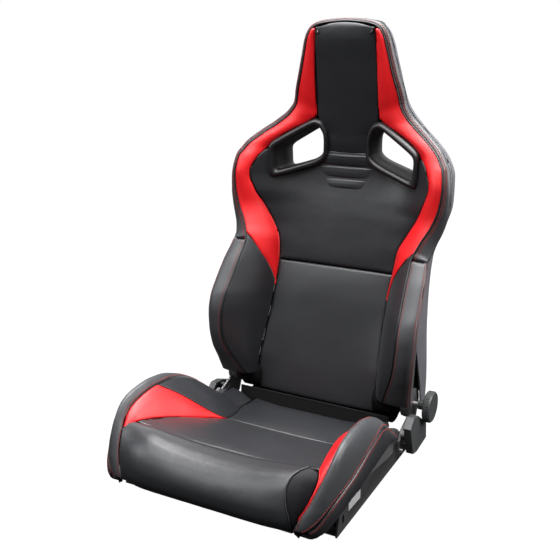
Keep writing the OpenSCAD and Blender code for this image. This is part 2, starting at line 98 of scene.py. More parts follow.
# Right half of the backrest as (key, inner x, y, z, welt x, y, z): the inner seam and the
# welt seam of the side panel. The key is about the welt's height and runs on past the top,
# so that keys above TOP_KEY are the left half.
SIDE = [
    (.118, .156, .157, .118, .180, .130, .118), (.16, .155, .161, .16, .196, .110, .16),
    (.20, .152, .175, .20, .211, .093, .20), (.24, .150, .192, .24, .219, .086, .24),
    (.28, .148, .210, .28, .221, .090, .28), (.32, .148, .226, .32, .220, .104, .32),
    (.36, .149, .243, .36, .217, .133, .36), (.40, .151, .258, .40, .214, .162, .40),
    (.44, .155, .265, .44, .212, .193, .44), (.48, .174, .271, .48, .225, .214, .48),
    (.52, .197, .267, .52, .246, .226, .52), (.56, .216, .251, .56, .259, .231, .56),
    (.60, .228, .245, .60, .263, .235, .60), (.64, .214, .262, .64, .258, .245, .64),
    (.655, .203, .275, .652, .249, .254, .655), (.668, .193, .285, .664, .240, .262, .668),
    (.690, .170, .293, .686, .215, .280, .690), (.716, .130, .306, .710, .180, .300, .716),
    (.742, .094, .314, .7285, .150, .310, .742), (.768, .079, .314, .745, .133, .312, .768),
    (.80, .079, .308, .775, .126, .307, .80), (.835, .0785, .3005, .825, .116, .3005, .835),
    (.88, .077, .294, .88, .105, .295, .88), (.92, .075, .289, .92, .095, .291, .92),
    (.9435, .0735, .286, .940, .0825, .290, .9405)]
inner_seam = table([r[:4] for r in SIDE])
welt_low = table([(r[0],) + r[4:] for r in SIDE])
TOP = [(.9535, .070, .291, .9480), (.978, .043, .292, .9535), (1.018, 0, .2925, .9565)]
TOP_KEY = 1.018
arch_rows = [(r[0],) + r[4:] for r in SIDE] + TOP
arch_rows += [(2 * TOP_KEY - k, -x, y, z) for k, x, y, z in arch_rows[-2::-1]]
welt = table(arch_rows)
band_width = table([(.118, .066), (.16, .054), (.20, .045), (.24, .040), (.32, .041), (.36, .043),
                    (.40, .042), (.44, .038), (.48, .033), (.52, .026), (.56, .020), (.62, .0145),
                    (.68, .0125), (.80, .013), (.92, .011), (.96, .008), (TOP_KEY, .006)])
band_depth = table([(.118, .005), (.16, .010), (.20, .013), (.24, .015), (.28, .012), (.32, .006),
                    (.36, .004), (.44, .006), (.48, .011), (.52, .016), (.58, .018),
                    (.92, .016), (TOP_KEY, .014)])
front_y = table([(.078, .153), (.16, .180), (.28, .221), (.39, .258), (.50, .290), (.626, .322),
                 (.69, .319), (.737, .315), (.86, .298), (.943, .286), (.962, .290)])
shell_x = table([(.09, .248), (.20, .2495), (.30, .252), (.36, .249), (.44, .243), (.50, .257),
                 (.56, .271), (.62, .268), (.66, .250), (.69, .222), (.72, .185), (.75, .156),
                 (.78, .138), (.86, .118), (.93, .100), (.955, .082)])
shell_edge = table([(.09, .214), (.144, .200), (.20, .176), (.30, .138), (.36, .158),
                    (.44, .222), (.50, .262), (.56, .275), (.62, .285), (.68, .305),
                    (.74, .340), (.80, .334), (.94, .314), (.955, .310)])
shell_back = table([(.09, .316), (.14, .334), (.20, .341), (.33, .337), (.45, .353), (.56, .376),
                    (.64, .388), (.74, .386), (.86, .364), (.94, .342), (.955, .334)])


def outward(key):
    """Direction in the seat's frontal plane that points away from the middle, at the welt."""
    d = welt(np.asarray(key) + .012) - welt(np.asarray(key) - .012)
    out = unit(np.stack([d[..., 2], 0 * d[..., 0], -d[..., 0]], -1))
    fade = np.clip((np.minimum(key, 2 * TOP_KEY - key) - .43) / .04, 0, 1)[..., None]
    side = np.where(np.asarray(key) < TOP_KEY, 1.0, -1.0)[..., None] * np.array([1.0, 0, 0])
    return unit(out * fade + side * (1 - fade))


def fold(key):
    return np.minimum(key, 2 * TOP_KEY - np.asarray(key))


def side_face(key, t):
    """The side panel between its inner seam and the welt, bulging towards the sitter."""
    a, b = inner_seam(key), welt_low(key)
    d = b - a
    n = unit(np.stack([d[..., 1], -d[..., 0], 0 * d[..., 0]], -1))
    bulge = np.interp(key, [.118, .20, .36, .44, .52, .60, .70, .94],
                      [.004, .009, .009, .006, .006, .005, .003, .002])
    return a + d * t[..., None] + n * (bulge * np.sin(np.pi * t))[..., None]


def band(key, t):
    """The leather band from the welt to the outer edge: a quarter turn from front to side."""
    q = fold(key)
    a = t * np.pi / 2
    w, h = band_width(q), band_depth(q)
    p = welt(key) + outward(key) * (w * np.sin(a))[..., None]
    p[..., 1] += h * (1 - np.cos(a)) - np.clip(.45 - q, 0, .05) / .05 * .004 * np.sin(np.pi * t)
    return p


def band_edge(key):
    return band(key, np.ones_like(key))


def wrap(key, t):
    """The strip that runs back from the band's outer edge towards the rear shell."""
    p = band_edge(key)
    q = fold(key)
    z = np.clip(p[..., 2], .09, .955)
    far = np.where(q < .3, np.minimum(shell_edge(z) - .002, p[..., 1] + .040),
                   shell_edge(z) - .002)
    far = np.maximum(far, p[..., 1] + .012)
    inset = np.interp(q, [.118, .44, .56, TOP_KEY], [.006, .007, .008, .006])
    out = p - outward(key) * (inset * t ** 2)[..., None]
    out[..., 1] = p[..., 1] + (far - p[..., 1]) * t
    return out


# ------------------------------------------------------------------ mesh helpers
MIRROR = np.array([-1.0, 1, 1])


def make(name, verts, faces, material, body, slot=None, replaces=(), pad=None, sharp=None):
    mesh = bpy.data.meshes.new(name)
    mesh.from_pydata([tuple(map(float, v)) for v in verts], [], faces)
    mesh.validate()
    mesh.update()
    for p in mesh.polygons:
        p.use_smooth = True
    if sharp:
        mesh.set_sharp_from_angle(angle=math.radians(sharp))
    mesh.materials.append(material)
    obj = bpy.data.objects.new(name, mesh)
    scene.collection.objects.link(obj)
    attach(obj, body)
    if replaces:
        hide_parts(*replaces)
    return obj


def pair(name, verts, faces, material, body, slot=None, nodes=(), pad=None, sharp=None):
    """The right-hand piece and its mirror image on the left."""
    verts, flipped = np.asarray(verts), [f[::-1] for f in faces]
    return [make(f"{name}_{word}", v, f, material, body, slot, [f"{n}_{word}" for n in nodes],
                 pad, sharp)
            for word, v, f in (("right", verts, faces), ("left", verts * MIRROR, flipped))]


def tube_faces(rings, sides, closed=False, first=0):
    """Quads between rings of equal point counts, with flat ends unless the last ring meets
    the first."""
    faces = []
    for i in range(rings if closed else rings - 1):
        a, b = first + i * sides, first + (i + 1) % rings * sides
        for k in range(sides):
            k2 = (k + 1) % sides
            faces.append([a + k, a + k2, b + k2, b + k])
    if not closed:
        end = first + (rings - 1) * sides
        faces += [[first + k for k in reversed(range(sides))], [end + k for k in range(sides)]]
    return faces


def sheet_faces(cells):
    """Faces of a sheet with two layers of points: the marked cells, the same cells reversed on
    the layer below, and a wall along every free edge."""
    rows, cols = cells.shape[0] + 1, cells.shape[1] + 1
    under, top = rows * cols, np.arange(rows * cols).reshape(rows, cols)
    faces, edges = [], {}
    for i, j in zip(*np.nonzero(cells)):
        quad = [int(k) for k in (top[i, j], top[i, j + 1], top[i + 1, j + 1], top[i + 1, j])]
        faces.append(quad)
        for edge in zip(quad, quad[1:] + quad[:1]):
            if edge[::-1] in edges:
                del edges[edge[::-1]]
            else:
                edges[edge] = True
    shut = [[under + k for k in reversed(f)] for f in faces]
    walls = [[b, a, under + a, under + b] for a, b in edges]
    return faces + shut + walls


def spread(length, n, r0, r1):
    """Fractions along a length, close together inside each rolled edge."""
    edge = np.array([0, .07, .22, .45, .72, 1.0, 1.5])
    r0, r1 = min(r0, .42 * length), min(r1, .42 * length)
    start = edge * r0 if r0 > 0 else np.array([0.0])
    end = length - edge[::-1] * r1 if r1 > 0 else np.array([length])
    a, b = start[-1], end[0]
    if b <= a:
        a, b = length * .49, length * .51
        start, end = start * (a / max(start[-1], 1e-9)), length - (length - end) * (
            (length - b) / max(length - end[0], 1e-9))
    return np.concatenate([start, np.linspace(a, b, n + 2)[1:-1], end]) / length


def grid_normals(p, out):
    gu = np.gradient(p, axis=0)
    gt = np.gradient(p, axis=1)
    n = np.cross(gu, gt)
    size = np.linalg.norm(n, axis=-1)
    for i in range(1, len(p)):                      # a row of no width takes its neighbour's
        bad = size[i] < 1e-12
        n[i][bad] = n[i - 1][bad]
    n = unit(n)
    middle = n[len(p) // 2, p.shape[1] // 2]
    return -n if np.dot(middle, np.array(out, float)) < 0 else n


def line_length(points):
    return np.r_[0, np.cumsum(np.linalg.norm(np.diff(points, axis=0), axis=1))]


def run_length(p, axis):
    """How far every grid point lies from the first and from the last edge."""
    steps = np.cumsum(np.linalg.norm(np.diff(p, axis=axis), axis=2), axis)
    first = np.insert(steps, 0, 0, axis)
    return first, np.take(first, [-1], axis) - first


FINEST = .0012                              # narrowest width that a row is divided over
PORE, DENT = 60, 22                         # fine and coarse unevenness, per metre


class Panel:
    """A sewn leather panel over surf(u, t): its edges roll down into the seams, and it has a
    back and side walls, so that it is a closed padded piece. roll holds the radius at the first
    and last edge across and then along, depth says how far the rolled edge sinks, crown and
    loose add fullness, relief adds folds, and hole marks cells that are left out."""

    def __init__(self, surf, u0, u1, nu=60, nt=14, roll=(.004, .004, .004, .004), thick=.010,
                 crown=0.0, out=(0, -1, 0), inset=.0004, hole=None, relief=None, wrinkle=.0003,
                 loose=None, depth=None):
        u, t = self.grid(surf, u0, u1, nu, nt, roll, inset)
        p = surf(u, t)
        n = grid_normals(p, out)
        d0, d1 = run_length(p, 1)
        e0, e1 = run_length(p, 0)
        full, long = np.maximum(d0[:, -1:], 1e-6), e0[-1:]
        keep, deep = np.ones(u.shape), max(roll)
        for e, r, length in zip((d0, d1, e0, e1), roll, (d0[:, -1:],) * 2 + (long,) * 2):
            if r > 0:
                s = np.clip(e / np.maximum(np.minimum(r, .42 * length), 1e-6), 0, 1)
                keep *= 1 - (1 - np.sqrt(np.maximum(1 - (1 - s) ** 2, 0))) * r / deep
        puff = crown * np.sin(np.pi * np.clip(d0 / full, 0, 1)) ** .8 if crown else 0 * d0
        if crown and long.mean() > 0:
            near = np.minimum(e0, e1) / (.25 * np.maximum(full, .02))
            puff = puff * np.clip(near, 0, 1) ** .6
        if relief is not None:
            puff = puff + relief(u, t, p)
        if loose is not None:
            puff = puff + loose(u, t)
        if wrinkle:
            for i, j in np.ndindex(u.shape):
                v = Vector(p[i, j])
                puff[i, j] += wrinkle * (noise.noise(v * DENT) + .5 * noise.noise(v * PORE))
        self.d0, self.d1, self.n, self.hole = d0, d1, n, hole
        self.p = p + n * (puff - (1 - keep) * (depth or deep))[..., None]
        self.back = p - n * max(thick, deep + .0015)

    @staticmethod
    def grid(surf, u0, u1, nu, nt, roll, inset):
        """Rows and columns at even distances on the surface, closer together at the edges."""
        middle = np.linspace(u0, u1, 60)
        c = line_length(surf(middle, np.full(60, .5)))
        us = np.interp(spread(c[-1], nu, roll[2], roll[3]), c / c[-1], middle)
        fine, rows = np.linspace(0, 1, 40), []
        for u in us:
            c = line_length(surf(np.full(40, u), fine))
            wide = max(c[-1], FINEST)
            f = np.clip(spread(wide, nt, roll[0], roll[1]), inset / wide, 1 - inset / wide)
            rows.append(np.interp(f, c / wide if c[-1] > FINEST else fine, fine))
        return np.repeat(us[:, None], len(rows[0]), 1), np.array(rows)

    def solid(self):
        a, b = self.p.shape[:2]
        verts = np.concatenate([self.p.reshape(-1, 3), self.back.reshape(-1, 3)])
        cells = np.ones((a - 1, b - 1), bool)
        if self.hole is not None:
            cells = ~self.hole((self.p[1:, 1:] + self.p[:-1, :-1]) / 2)
        faces = sheet_faces(cells)
        i, j = a // 2, b // 2
        if np.dot(np.cross(self.p[i, j + 1] - self.p[i, j], self.p[i + 1, j] - self.p[i, j]),
                  self.n[i, j]) < 0:
            faces = [f[::-1] for f in faces]
        return verts, faces

    def line(self, away, side=0, lift=0.0):
        """The points on the panel that are this far from its first or last edge."""
        pts, nrm = [], []
        for row in zip(self.d1 if side else self.d0, self.p, self.n):
            d, q, m = (r[::-1] for r in row) if side else row
            if d[-1] > 2.2 * away:
                pts.append([np.interp(away, d, q[:, k]) for k in range(3)])
                nrm.append([np.interp(away, d, m[:, k]) for k in range(3)])
        pts, nrm = np.array(pts), unit(np.array(nrm))
        return pts + nrm * lift, nrm


def inflated(surf, u0, u1, cap, out=(0, -1, 0), nu=44, nt=28, pressure=4.0, frames=20):
    """Cloth simulation of a panel that is held at its seams and swells over its foam. Gives
    how far it stands out at (u, t), at most cap."""
    u, t = np.meshgrid(np.linspace(u0, u1, nu), np.linspace(0, 1, nt), indexing="ij")
    p = surf(u, t)
    n = grid_normals(p, out)
    idx = np.arange(nu * nt).reshape(nu, nt)
    quads = [[int(k) for k in (idx[i, j], idx[i, j + 1], idx[i + 1, j + 1], idx[i + 1, j])]
             for i in range(nu - 1) for j in range(nt - 1)]
    i, j = nu // 2, nt // 2
    if np.dot(np.cross(p[i, j + 1] - p[i, j], p[i + 1, j] - p[i, j]), n[i, j]) < 0:
        quads = [q[::-1] for q in quads]
    mesh = bpy.data.meshes.new("cloth")
    mesh.from_pydata([tuple(map(float, v)) for v in p.reshape(-1, 3)], [], quads)
    obj = bpy.data.objects.new("cloth", mesh)
    scene.collection.objects.link(obj)
    seam = obj.vertex_groups.new(name="seam")
    seam.add([int(k) for k in np.unique(np.r_[idx[0], idx[-1], idx[:, 0], idx[:, -1]])], 1.0,
             "REPLACE")
    mod = obj.modifiers.new("cloth", "CLOTH")
    cloth_set = mod.settings
    cloth_set.quality, cloth_set.mass = 5, .25
    cloth_set.tension_stiffness, cloth_set.compression_stiffness = 18, 10
    cloth_set.shear_stiffness, cloth_set.bending_stiffness = 8, 12
    cloth_set.vertex_group_mass = "seam"
    cloth_set.use_pressure, cloth_set.uniform_pressure_force = True, pressure
    cloth_set.shrink_min = -.004
    cloth_set.effector_weights.gravity = 0
    mod.collision_settings.use_collision = False
    mod.point_cache.frame_start, mod.point_cache.frame_end = 1, frames
    for f in range(1, frames + 1):
        scene.frame_set(f)
    shape = obj.evaluated_get(bpy.context.evaluated_depsgraph_get()).data
    co = np.array([v.co for v in shape.vertices]).reshape(nu, nt, 3)
    scene.frame_set(1)
    bpy.data.objects.remove(obj)
    bpy.data.meshes.remove(mesh)
    d = ((co - p) * n).sum(-1)
    d = cap * np.tanh(np.nan_to_num(d if d.mean() >= 0 else -d) / cap)
    d[0], d[-1], d[:, 0], d[:, -1] = 0, 0, 0, 0
    for _ in range(16):                             # leather is stiffer than cloth
        d[1:-1, 1:-1] = (d[2:, 1:-1] + d[:-2, 1:-1] + d[1:-1, 2:] + d[1:-1, :-2]) / 4
    print(f"cloth: swells {1000 * d.mean():.1f} mm on average, {1000 * d.max():.1f} at most")

    def at(uu, tt):
        a = np.clip((uu - u0) / (u1 - u0), 0, 1) * (nu - 1)
        b = np.clip(tt, 0, 1) * (nt - 1)
        i, j = np.minimum(a.astype(int), nu - 2), np.minimum(b.astype(int), nt - 2)
        fa, fb = a - i, b - j
        return ((1 - fa) * (1 - fb) * d[i, j] + (1 - fa) * fb * d[i, j + 1]
                + fa * (1 - fb) * d[i + 1, j] + fa * fb * d[i + 1, j + 1])

    return at


def both(name, panel, material, body, slot, nodes=(), pad=None):
    return pair(name, *panel.solid(), material, body, slot, nodes, pad)


def single(name, panel, material, body, slot, nodes=(), pad=None):
    return make(name, *panel.solid(), material, body, slot, nodes, pad)


def resample(points, normals, pitch):
    c = line_length(points)
    k = max(2, int(c[-1] / pitch))
    s = np.linspace(0, c[-1], k)
    return (np.stack([np.interp(s, c, points[:, i]) for i in range(3)], 1),
            unit(np.stack([np.interp(s, c, normals[:, i]) for i in range(3)], 1)))


def stitches(name, rows, material, body, mirror=False, pitch=.0052, length=.0038, radius=.00072):
    """Lock stitches as small rounded lengths of thread, half sunk in the leather."""
    sides, raised, flat = 6, .0004, 1.1
    stations = [(-.5, .25), (-.38, .9), (.38, .9), (.5, .25)]       # along the thread, girth
    turn = [2 * np.pi * k / sides for k in range(sides)]
    verts, faces = [], []
    for points, normals in rows:
        p, n = resample(points, normals, pitch)
        for i in range(len(p) - 1):
            c, up = (p[i] + p[i + 1]) / 2, n[i]
            d = unit(p[i + 1] - p[i])
            up = unit(up - d * np.dot(up, d))
            side = np.cross(d, up)
            faces += tube_faces(len(stations), sides, first=len(verts))
            verts += [c + d * s * length + up * (raised + radius * r * np.sin(a))
                      + side * radius * flat * r * np.cos(a) for s, r in stations for a in turn]
    return (pair if mirror else make)(name, verts, faces, material, body)


def sweep(name, points, radius, material, body, slot=None, sides=8, mirror=False):
    """A round cord along a line, such as the piping in a seam."""
    p = np.array(points)
    d = unit(np.gradient(p, axis=0))
    a = unit(np.cross(d, np.array([.13, -.97, .21])))               # a direction no cord takes
    b = np.cross(d, a)
    turn = 2 * np.pi * np.arange(sides)[:, None] / sides
    verts = [p[i] + radius * (a[i] * np.cos(w) + b[i] * np.sin(w))
             for i in range(len(p)) for w in turn]
    return (pair if mirror else make)(name, verts, tube_faces(len(p), sides), material, body,
                                      slot)


# ------------------------------------------------------------------ materials
def new_material(name):
    m = bpy.data.materials.new(name)
    m.use_nodes = True
    return m, m.node_tree, m.node_tree.nodes["Principled BSDF"]


def textured(name):
    """A new material with the object's own coordinates for its textures."""
    m, tree, bsdf = new_material(name)
    return m, tree, bsdf, tree.nodes.new("ShaderNodeTexCoord").outputs["Object"]


def scaled(rgb, k):
    return tuple(c * k for c in rgb)


def tex(tree, kind, coord, scale, **inputs):
    node = tree.nodes.new(kind)
    tree.links.new(coord, node.inputs["Vector"])
    node.inputs["Scale"].default_value = scale
    for k, v in inputs.items():
        node.inputs[k].default_value = v
    return node


def ramp(tree, value, stops):
    node = tree.nodes.new("ShaderNodeValToRGB")
    tree.links.new(value, node.inputs["Fac"])
    e = node.color_ramp.elements
    e[0].position, e[0].color = stops[0][0], (*stops[0][1], 1)
    e[1].position, e[1].color = stops[-1][0], (*stops[-1][1], 1)
    for pos, col in stops[1:-1]:
        x = e.new(pos)
        x.color = (*col, 1)
    return node.outputs["Color"]


def span(tree, value, low, high, a=0.0, b=1.0):
    node = tree.nodes.new("ShaderNodeMapRange")
    tree.links.new(value, node.inputs["Value"])
    for k, v in zip(("From Min", "From Max", "To Min", "To Max"), (a, b, low, high)):
        node.inputs[k].default_value = v
    return node.outputs["Result"]


def bump(tree, height, strength, distance, before=None):
    node = tree.nodes.new("ShaderNodeBump")
    node.inputs["Strength"].default_value = strength
    node.inputs["Distance"].default_value = distance
    tree.links.new(height, node.inputs["Height"])
    if before is not None:
        tree.links.new(before, node.inputs["Normal"])
    return node.outputs["Normal"]


def blend_colour(tree, a, b, factor, mode="MIX"):
    node = tree.nodes.new("ShaderNodeMix")
    node.data_type = "RGBA"
    node.blend_type = mode
    for sock, v in ((node.inputs[6], a), (node.inputs[7], b), (node.inputs[0], factor)):
        if isinstance(v, tuple):
            sock.default_value = (*v, 1)
        elif isinstance(v, (int, float)):
            sock.default_value = v
        else:
            tree.links.new(v, sock)
    return node.outputs[2]


def leather(name, rgb, rough=.42, tone=.16, sheen=.0, grain=620.0, edge=1.12):
    """Grained automotive leather: fine pores, soft tonal drift, rubbed edges and painted shade that
    darkens its creases and seams.
    """
    m, tree, bsdf, coord = textured(name)
    drift = tex(tree, "ShaderNodeTexNoise", coord, 7, Detail=4)
    colour = ramp(tree, drift.outputs["Fac"],
                  [(.3, scaled(rgb, 1 - tone)), (.7, scaled(rgb, 1 + tone))])
    pores = tex(tree, "ShaderNodeTexVoronoi", coord, grain)
    colour = blend_colour(tree, colour, scaled(rgb, .55),
                          span(tree, pores.outputs["Distance"], .35, 0, 0, .35))
    worn = tree.nodes.new("ShaderNodeNewGeometry").outputs["Pointiness"]
    # Painted shade: concave spots such as creases and seams are darkened to 30 %, while convex
    # edges are lightened as rubbed wear.
    crease_shade_and_rubbed_edge = ramp(tree, worn, [(.40, (.30,) * 3), (.49, (1.0,) * 3), (.54, (1.0,) * 3),
                               (.62, (edge,) * 3)])
    colour = blend_colour(tree, colour, crease_shade_and_rubbed_edge, 1.0, "MULTIPLY")
    tree.links.new(colour, bsdf.inputs["Base Color"])
    patch = tex(tree, "ShaderNodeTexNoise", coord, 38, Detail=3)
    tree.links.new(span(tree, patch.outputs["Fac"], rough - .02, rough + .04),
                   bsdf.inputs["Roughness"])
    folds = tex(tree, "ShaderNodeTexNoise", coord, 260, Detail=5)
    n = bump(tree, patch.outputs["Fac"], .05, .002)
    n = bump(tree, folds.outputs["Fac"], .16, .0005, n)
    n = bump(tree, pores.outputs["Distance"], .28, .0005, n)
    tree.links.new(n, bsdf.inputs["Normal"])
    bsdf.inputs["Specular IOR Level"].default_value = .5
    bsdf.inputs["Sheen Weight"].default_value = sheen
    bsdf.inputs["Sheen Roughness"].default_value = .45
    return m


def plastic(name, rgb, rough=.5, grain=900.0, strength=.3, edge=1.5):
    """Moulded plastic with a fine spark-eroded grain and slightly polished edges."""
    m, tree, bsdf, coord = textured(name)
    drift = tex(tree, "ShaderNodeTexNoise", coord, 11, Detail=5)
    colour = ramp(tree, drift.outputs["Fac"],
                  [(.3, scaled(rgb, .88)), (.7, scaled(rgb, 1.1))])
    worn = tree.nodes.new("ShaderNodeNewGeometry").outputs["Pointiness"]
    colour = blend_colour(tree, colour, tuple(min(1, c * edge + .01) for c in rgb),
                          span(tree, worn, 0, .6, .52, .62))
    tree.links.new(colour, bsdf.inputs["Base Color"])
    cells = tex(tree, "ShaderNodeTexVoronoi", coord, grain)
    dust = tex(tree, "ShaderNodeTexNoise", coord, 45, Detail=4)
    tree.links.new(span(tree, dust.outputs["Fac"], rough - .06, rough + .08),
                   bsdf.inputs["Roughness"])
    tree.links.new(bump(tree, cells.outputs["Distance"], strength, .0004),
                   bsdf.inputs["Normal"])
    return m


def metal(name, rgb, rough=.35, metallic=.0, scratch=.15, edge=3.0):
    """Coated or plated steel: fine orange peel, faint scuffs and bright worn edges."""
    m, tree, bsdf, coord = textured(name)
    drift = tex(tree, "ShaderNodeTexNoise", coord, 16, Detail=6)
    colour = ramp(tree, drift.outputs["Fac"],
                  [(.3, scaled(rgb, .85)), (.72, scaled(rgb, 1.15))])
    worn = tree.nodes.new("ShaderNodeNewGeometry").outputs["Pointiness"]
    colour = blend_colour(tree, colour, tuple(min(1, c * edge + .03) for c in rgb),
                          span(tree, worn, 0, .8, .53, .62))
    tree.links.new(colour, bsdf.inputs["Base Color"])
    bsdf.inputs["Metallic"].default_value = metallic
    scuff = tex(tree, "ShaderNodeTexNoise", coord, 90, Detail=6, Distortion=1.2)
    tree.links.new(span(tree, scuff.outputs["Fac"], rough - scratch * .5, rough + scratch),
                   bsdf.inputs["Roughness"])
    peel = tex(tree, "ShaderNodeTexNoise", coord, 700, Detail=3)
    tree.links.new(bump(tree, peel.outputs["Fac"], .2, .0003), bsdf.inputs["Normal"])
    return m


def cloth(name, rgb, pitch=520.0):
    """Plain woven side cloth from two crossed sets of threads."""
    m, tree, bsdf, coord = textured(name)
    heights = []
    for direction in ("Y", "Z"):
        wave = tex(tree, "ShaderNodeTexWave", coord, pitch, Distortion=.6)
        wave.bands_direction = direction
        heights.append(wave.outputs["Fac"])
    weave = tree.nodes.new("ShaderNodeMath")
    weave.operation = "MULTIPLY"
    tree.links.new(heights[0], weave.inputs[0])
    tree.links.new(heights[1], weave.inputs[1])
    colour = ramp(tree, weave.outputs[0], [(0, scaled(rgb, .6)), (1, rgb)])
    tree.links.new(colour, bsdf.inputs["Base Color"])
    fuzz = tex(tree, "ShaderNodeTexNoise", coord, 70, Detail=4)
    tree.links.new(span(tree, fuzz.outputs["Fac"], .78, .95), bsdf.inputs["Roughness"])
    tree.links.new(bump(tree, weave.outputs[0], .5, .0004), bsdf.inputs["Normal"])
    bsdf.inputs["Sheen Weight"].default_value = .25
    return m


BLACK = leather("black_leather", (.0150, .0157, .0180), rough=.345, sheen=.02)
# A darker, duller copy of the black leather for the cushion's front wedge: painted shade for that
# shadowed corner.
SHADED_WEDGE = leather("wedge_leather_shaded", (.006, .0055, .007), rough=.42)
BAND = leather("band_leather", (.030, .031, .0345), rough=.42, sheen=.05)
RED = leather("red_leather", (.62, .005, .008), rough=.42, tone=.05, edge=1.05)
THREAD = leather("red_thread", (.75, .045, .03), rough=.6, grain=2400.0, edge=1.2)
PIPING = leather("dark_piping", (.008, .008, .009), rough=.38)
# Near-black matte cords laid in the seams: painted shade in the seam grooves.
SEAM_SHADE = leather("seam_shadow", (.003, .003, .003), rough=.85)
FABRIC = cloth("side_cloth", (.055, .055, .06))
SHELL = plastic("shell_plastic", (.115, .112, .125), rough=.46)
GUIDE = plastic("guide_plastic", (.009, .009, .010), rough=.36, strength=.12)
DUCT = plastic("duct_plastic", (.035, .035, .038), rough=.5)
# Black liner for the foam cores and the pivot skirt: black of its own, made darker than the leather
# as painted shade for the gaps it fills.
SHADE_LINER = cloth("dark_liner_shaded", (.004, .004, .0045))
# Near-black matte plastic for the rear gap cover: black of its own, darkened further as painted
# shade for the gap under the backrest.
GAP_SHADE_TRIM = plastic("trim_plastic_shaded", (.0025, .0025, .003), rough=.85)
COVER = plastic("cover_plastic", (.035, .037, .038), rough=.44)
RUBBER = plastic("bumper_rubber", (.16, .16, .165), rough=.7, edge=1.1)
BRACKET = metal("bracket_coat", (.014, .014, .015), rough=.28)
STEEL = metal("frame_coat", (.02, .02, .022), rough=.4)
PLATED = metal("plated_steel", (.42, .42, .43), rough=.3, metallic=.9, edge=1.3)
RECLINER = metal("recliner_steel", (.07, .07, .072), rough=.36, metallic=.6)
# Gloss and sheen turned down on the pieces that stand for shade, so that they render as flat dark
# shadow.
for shade in (GAP_SHADE_TRIM, SHADE_LINER, SHADED_WEDGE, SEAM_SHADE):
    lobe = shade.node_tree.nodes["Principled BSDF"]
    lobe.inputs["Specular IOR Level"].default_value = .12
    lobe.inputs["Sheen Weight"].default_value = 0
LABEL = plastic("label_film", (.5, .5, .5), rough=.35, strength=.05, edge=1.0)

# ------------------------------------------------------------------ backrest leather
RED_FROM, RED_FULL = .330, .462          # the red panel starts as a point and fills the side
FOOT, WAIST = .118, .452                 # lower end of the back's bolsters, waist seam
BOLSTER_TOP, ARCH_FROM = .446, .448      # the bolster's leather ends and the outline's starts


def red_share(key):
    return np.clip((key - RED_FROM) / (RED_FULL - RED_FROM), 0, 1) ** 1.45


def red_face(key, t):
    return side_face(key, t * np.maximum(red_share(key), .012))


def bolster_face(key, t):
    s = red_share(key)
    s = np.minimum(s, .985)
    return side_face(key, s + (1 - s) * t)


def waist_fold(key, t, p):
    """Small gathers where the band is pulled in at the waist seam."""
    q = fold(key)
    near = np.exp(-((q - WAIST) / .014) ** 2)
    return -.0012 * near * (1 + np.sin(p[..., 1] * 520))


red_panel = Panel(red_face, RED_FROM, .9425, nu=120, nt=12, roll=(.004, .0035, .002, .003),
                  thick=.012, crown=.003)
both("side_panel_red", red_panel, RED, "backrest", "red_leather",
     ("shoulder_pad", "headrest_side"), pad=.7)
bolster_panel = Panel(bolster_face, FOOT, .460, nu=70, nt=22, roll=(.0045, .004, .004, .003),
                      thick=.014)
both("back_bolster_inner", bolster_panel, BLACK, "backrest", "black_leather",
     ("back_bolster",), pad=.8)
lower_band = Panel(band, FOOT, BOLSTER_TOP, nu=64, nt=12, roll=(.0035, .004, .004, .0045),
                   thick=.012, crown=.002, relief=waist_fold)
both("back_bolster_band", lower_band, BAND, "backrest", "band_leather", pad=.7)
lower_wrap = Panel(wrap, FOOT, BOLSTER_TOP, nu=60, nt=8, roll=(.004, .003, .004, .0045), thick=.009,
                   out=(1, 0, 0), relief=waist_fold)
both("back_bolster_wrap", lower_wrap, BAND, "backrest", "band_leather", pad=.4)
ARCH_TO = 2 * TOP_KEY - ARCH_FROM
arch = Panel(band, ARCH_FROM, ARCH_TO, nu=330, nt=9, roll=(.003, .003, .0045, .0045),
             thick=.009, relief=waist_fold, wrinkle=.0002)
single("outline_band", arch, BAND, "backrest", "band_leather", pad=.6)
arch_wrap = Panel(wrap, ARCH_FROM, ARCH_TO, nu=300, nt=6, roll=(.003, .003, .0045, .0045),
                  thick=.008, out=(0, 0, 1), relief=waist_fold, wrinkle=.0002)
single("outline_wrap", arch_wrap, BAND, "backrest", "band_leather", pad=.4)

keys = np.linspace(.120, 2 * TOP_KEY - .120, 420)
sweep("outline_piping", welt(keys) + np.array([0, -.0008, 0]), .0019, PIPING, "backrest",
      "black_leather")
stitches("outline_stitches", [arch.line(a, 0, .0001) for a in (.0045, .0085)], THREAD, "backrest")
stitches("bolster_stitches", [lower_band.line(.006, 0), lower_band.line(.0055, 1),
                              lower_wrap.line(.0055, 0)], THREAD, "backrest", mirror=True)


def lumbar(z, f):
    xi = inner_seam(z)[..., 0]
    yi = inner_seam(z)[..., 1]
    yc = front_y(z)
    g = 2 * f - 1
    return np.stack([g * xi, yc + (yi - yc) * np.abs(g) ** 3.5, z], -1)


lumbar_panel = Panel(lumbar, .0775, .3885, nu=60, nt=60, roll=(.006, .006, .006, .006),
                     thick=.030, crown=.004, loose=inflated(lumbar, .0775, .3885, .005))
single("lumbar_panel", lumbar_panel, BLACK, "backrest", "black_leather", ("lumbar_pad",), pad=.8)

# Cord that fills the seam between the back's centre and its sides from behind, in near-black matte
# material: painted shade in the seam.
CORD_R, CORD_DEPTH = .0056, .0080
sweep("centre_seam_cord", inner_seam(np.linspace(.080, .936, 200)) + np.array([0, CORD_DEPTH, 0]),
      CORD_R, SEAM_SHADE, "backrest", "black_leather", mirror=True)

